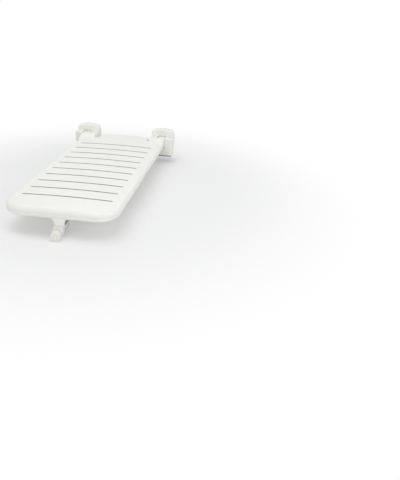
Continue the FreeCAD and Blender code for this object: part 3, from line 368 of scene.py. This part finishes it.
def zinc(name, colour, dull):
    """Zinc plated steel sheet: crystals, a chalky film and fine rolling lines."""
    finish = Material(name, Metallic=1.0)
    facet = finish.add("ShaderNodeSeparateColor", {}, finish.cells(7 * MM, "Color"))
    chalk = finish.noise(16 * MM, detail=4.0, roughness=0.62)
    rolling = finish.noise(0.9 * MM, place=finish.stretch(1.0, 1.0, 0.06))
    dulled = facet * FACET_SHARE + chalk.between(0.45, 0.7) * CHALK_SHARE
    paint = finish.mix(dulled, colour, dull)
    rough = ZINC_ROUGHNESS + facet * FACET_ROUGHNESS + chalk.between(0.5, 0.72) * CHALK_ROUGHNESS
    return finish.surface(paint, rough, facet * 0.3 + rolling * 0.7, ZINC_DEPTH)


# The finish of each material slot, by the slot's name

SEAT_WHITE = linear(243, 243, 237)
SEAT_SHADE = linear(239, 239, 231)
COVER_WHITE = linear(240, 240, 233)
COVER_SHADE = linear(235, 235, 227)
POST_WHITE = linear(250, 249, 246)
POST_SHADE = linear(247, 245, 242)
KNOB_WHITE = linear(240, 238, 234)
KNOB_SHADE = linear(234, 232, 227)

RECIPES = {
    "seat_plastic": (moulded, {
        "colour": SEAT_WHITE, "shade": SEAT_SHADE, "roughness": 0.24,
        "grain": 0.9 * MM, "depth": 0.012 * MM, "seam": True, "slots": True,
    }),
    "tray_plastic": (moulded, {
        "colour": SEAT_WHITE, "shade": COVER_SHADE, "roughness": 0.42,
        "grain": 1.2 * MM, "depth": 0.06 * MM, "seam": True,
    }),
    "cover_plastic": (moulded, {
        "colour": COVER_WHITE, "shade": COVER_SHADE, "roughness": 0.25,
        "grain": 0.8 * MM, "depth": 0.012 * MM,
    }),
    "post_plastic": (moulded, {
        "colour": POST_WHITE, "shade": POST_SHADE, "roughness": 0.34,
        "grain": 0.8 * MM, "depth": 0.015 * MM,
    }),
    "knob_plastic": (moulded, {
        "colour": KNOB_WHITE, "shade": KNOB_SHADE, "roughness": 0.32,
        "grain": 0.6 * MM, "depth": 0.015 * MM,
    }),
    # On the strip under each bracket cover, this dark rubber is painted shade: it stands for the
    # shadow line under the covers
    "black_rubber": (rubber, {"colour": linear(52, 52, 53), "worn": linear(88, 88, 87)}),
    "grey_rubber": (rubber, {"colour": linear(214, 213, 209), "worn": linear(224, 223, 219)}),
    "grey_nylon": (nylon, {"colour": linear(150, 152, 154), "worn": linear(124, 125, 126)}),
    "aluminium_tube": (drawn_metal, {
        "colour": linear(214, 216, 218), "dull": linear(178, 181, 184), "roughness": 0.28,
        "along": ALONG_Y, "line": 0.7 * MM, "depth": 0.03 * MM,
    }),
    "bracket_steel": (zinc, {"colour": linear(196, 199, 203), "dull": linear(158, 163, 170)}),
    "stainless": (drawn_metal, {
        "colour": linear(206, 205, 202), "dull": linear(164, 163, 160), "roughness": 0.20,
        "along": ALONG_X, "line": 0.4 * MM, "depth": 0.015 * MM,
    }),
    "brass_insert": (drawn_metal, {
        "colour": linear(214, 180, 106), "dull": linear(166, 134, 74), "roughness": 0.26,
        "along": ALONG_Y, "line": 0.4 * MM, "depth": 0.02 * MM,
    }),
}

FINISHES = {name: make(name, **looks) for name, (make, looks) in RECIPES.items()}

for node in nodes.values():
    for slot in node.material_slots:
        slot.material = FINISHES[slot.material.name.split(".")[0]]


# Screws with a cross recess, in place of the plain ones

SIDES_OF_SCREW = 48
RECESS_ARMS = 4
RECESS_ARM_SHARE = 0.62
RECESS_WIDTH_SHARE = 0.17
RECESS_DEPTH_SHARE = 0.75
RECESS_FLOOR_ARM = 0.72
RECESS_FLOOR_WIDTH = 0.7
RIM_SHARE = 0.22
RIM_MIDDLE_IN = 0.3
RIM_MIDDLE_UP = 0.25
TIP_SHARE = 0.8
SHARP_ANGLE = math.radians(35)
WELD_DISTANCE = 0.01 * MM
SORT_DIGITS = 5

# Node: piece, body, height of the head, radius of the shank
SCREWS = {
    "board_screws": ("recessed_board_screws", "seat", 2.2 * MM, 2.35 * MM),
    "cover_screws": ("recessed_cover_screws", "wall_side", 1.8 * MM, 1.85 * MM),
    "support_screws": ("recessed_support_screws", "seat", 2.5 * MM, 3.0 * MM),
}


def ring_points(radius, height):
    """A circle of points about the screw's axis."""
    step = 2 * math.pi / SIDES_OF_SCREW
    angles = [step * number for number in range(SIDES_OF_SCREW)]
    return [Vector((radius * math.cos(angle), radius * math.sin(angle), height)) for angle in angles]


def cross_points(arm, width, height):
    """The outline of a cross: three corners for each of its four arms."""
    first_arm = [(arm, -width), (arm, width), (width, width)]
    points = []
    for number in range(RECESS_ARMS):
        turn = Matrix.Rotation(2 * math.pi / RECESS_ARMS * number, 2)
        for corner in first_arm:
            points.append(Vector((*(turn @ Vector(corner)), height)))
    return points


def add_loop(mesh, points):
    return [mesh.verts.new(point) for point in points]


def skin_loops(mesh, lower, upper):
    """Joins two loops of the same count with a band of faces."""
    for number, corner in enumerate(lower):
        after = (number + 1) % len(lower)
        mesh.faces.new((corner, lower[after], upper[after], upper[number]))


def loop_edges(mesh, loop):
    """The edges from each corner of a loop to the next."""
    return [mesh.edges.get((corner, after)) for corner, after in zip(loop, loop[1:] + loop[:1])]


def add_screw(mesh, head_point, head_radius, head_height, shank_radius, length):
    """One screw that points up, with its head at the bottom and a recess in the head."""
    before = len(mesh.verts)
    rim = head_radius * RIM_SHARE
    profile = [
        (head_radius - rim, 0.0),
        (head_radius - rim * RIM_MIDDLE_IN, rim * RIM_MIDDLE_UP),
        (head_radius, rim),
        (head_radius, head_height),
        (shank_radius, head_height),
        (shank_radius, length - shank_radius),
        (shank_radius * (1 - TIP_SHARE), length),
    ]
    loops = [add_loop(mesh, ring_points(radius, height)) for radius, height in profile]
    for lower, upper in zip(loops, loops[1:]):
        skin_loops(mesh, lower, upper)
    mesh.faces.new(loops[-1])

    arm = head_radius * RECESS_ARM_SHARE
    width = head_radius * RECESS_WIDTH_SHARE
    mouth = add_loop(mesh, cross_points(arm, width, 0.0))
    bottom = cross_points(
        arm * RECESS_FLOOR_ARM, width * RECESS_FLOOR_WIDTH, head_height * RECESS_DEPTH_SHARE,
    )
    recess_floor = add_loop(mesh, bottom)
    skin_loops(mesh, mouth, recess_floor)
    mesh.faces.new(list(reversed(recess_floor)))
    border = loop_edges(mesh, loops[0]) + loop_edges(mesh, mouth)
    bmesh.ops.triangle_fill(mesh, edges=border, use_beauty=True, use_dissolve=False)
    mesh.verts.ensure_lookup_table()
    for corner in mesh.verts[before:]:
        corner.co += head_point


def screw_set(name, node, body, slot, places, sizes):
    """All the screws of one node as one piece."""
    mesh = bmesh.new()
    for place in places:
        add_screw(mesh, Vector(place), *sizes)
    bmesh.ops.recalc_face_normals(mesh, faces=mesh.faces)
    data = bpy.data.meshes.new(name)
    mesh.to_mesh(data)
    mesh.free()
    data.shade_smooth()
    data.set_sharp_from_angle(angle=SHARP_ANGLE)
    piece = bpy.data.objects.new(name, data)
    scene.collection.objects.link(piece)
    data.materials.append(FINISHES[slot])
    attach(piece, body)
    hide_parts(node)


def islands(node):
    """The box of each separate solid of a CAD node, in order of its lowest corner."""
    mesh = bmesh.new()
    mesh.from_mesh(nodes[node].data)
    bmesh.ops.remove_doubles(mesh, verts=mesh.verts, dist=WELD_DISTANCE)
    left = set(mesh.verts)
    boxes = []
    while left:
        found = {left.pop()}
        queue = list(found)
        while queue:
            for edge in queue.pop().link_edges:
                for corner in edge.verts:
                    if corner in left:
                        left.discard(corner)
                        found.add(corner)
                        queue.append(corner)
        places = [corner.co.copy() for corner in found]
        low = Vector(min(place[axis] for place in places) for axis in range(3))
        high = Vector(max(place[axis] for place in places) for axis in range(3))
        boxes.append((low, high))
    mesh.free()
    return sorted(boxes, key=lambda box: tuple(round(value, SORT_DIGITS) for value in box[0]))


for node_name, (piece_name, body_name, head_height, shank_radius) in SCREWS.items():
    screws = islands(node_name)
    heads = [((low.x + high.x) / 2, (low.y + high.y) / 2, low.z) for low, high in screws]
    first_low, first_high = screws[0]
    head_radius = (first_high.x - first_low.x) / 2
    sizes = (head_radius, head_height, shank_radius, first_high.z - first_low.z)
    screw_set(piece_name, node_name, body_name, "stainless", heads, sizes)


# Floor, light and background

WHITE = (1.0, 1.0, 1.0)
DAYLIGHT = (0.98, 0.99, 1.0)
PAPER = linear(240, 240, 240)
PAPER_FIBRE = linear(243, 243, 243)
FLOOR_HALF = 20.0
FLOOR_GAP = 0.3 * MM
FLOOR_GLOW = 0.3
FADE_START = 0.42
FADE_END = 1.05
SKY_LIGHT = 0.49


def clear_rays(finish):
    """1 for what the camera, a gloss or a clear surface sees, and 0 for light on the part."""
    seen = finish.add("ShaderNodeLightPath", {}, output="Is Camera Ray")
    for ray in ("Is Glossy Ray", "Is Transmission Ray"):
        seen = seen.larger(finish.add("ShaderNodeLightPath", {}, output=ray))
    return seen


def floor_finish():
    """White paper: it takes the shadow near the part, and fades to white around it."""
    finish = Material("floor_paper", Roughness=0.9, Specular_IOR_Level=0.1)
    finish.feed(Base_Color=finish.mix(finish.noise(4 * MM), PAPER, PAPER_FIBRE))
    seen = clear_rays(finish)
    glow = finish.add("ShaderNodeEmission", {}, Color=WHITE, Strength=1.0)
    middle = (part_middle.x, part_middle.y, 0.0)
    offset = finish.add("ShaderNodeVectorMath", {"operation": "SUBTRACT"}, finish.place(), middle)
    distance = finish.add("ShaderNodeVectorMath", {"operation": "LENGTH"}, offset, output="Value")
    share = FLOOR_GLOW + distance.between(FADE_START, FADE_END) * (1 - FLOOR_GLOW)
    finish.show(finish.add("ShaderNodeMixShader", {}, seen * share, finish.shader, glow))
    return finish.owner


floor_z = part_low.z - FLOOR_GAP
floor_signs = ((-1, -1), (1, -1), (1, 1), (-1, 1))
floor_corners = [(x * FLOOR_HALF, y * FLOOR_HALF, floor_z) for x, y in floor_signs]
floor_mesh = bpy.data.meshes.new("floor")
floor_mesh.from_pydata(floor_corners, [], [(0, 1, 2, 3)])
floor_mesh.materials.append(floor_finish())
floor = bpy.data.objects.new("floor", floor_mesh)
scene.collection.objects.link(floor)

scene.world = bpy.data.worlds.new("studio")
studio = Finish(scene.world, "ShaderNodeOutputWorld")
light = studio.add("ShaderNodeBackground", {}, Color=DAYLIGHT, Strength=SKY_LIGHT)
backdrop = studio.add("ShaderNodeBackground", {}, Color=WHITE, Strength=1.0)
studio.show(studio.add("ShaderNodeMixShader", {}, clear_rays(studio), light, backdrop))


def softbox(name, place, width, height, energy):
    """A flat lamp that faces the middle of the part."""
    lamp = bpy.data.lights.new(name, "AREA")
    lamp.shape = "RECTANGLE"
    lamp.size = width
    lamp.size_y = height
    lamp.energy = energy
    holder = bpy.data.objects.new(name, lamp)
    holder.location = part_middle + Vector(place)
    holder.rotation_euler = (-Vector(place)).to_track_quat("-Z", "Y").to_euler()
    scene.collection.objects.link(holder)


# Each lamp's place from the middle of the part, its width and height, and its watts
softbox("overhead_softbox", (-0.2, -0.4, 2.2), 2.6, 0.8, 19.0)
softbox("front_softbox", (0.3, -4.6, 1.0), 3.0, 0.7, 38.0)
softbox("right_softbox", (2.2, -0.6, 0.9), 1.2, 1.2, 10.0)
softbox("rear_softbox", (-0.3, 2.0, 1.6), 2.4, 0.6, 6.0)
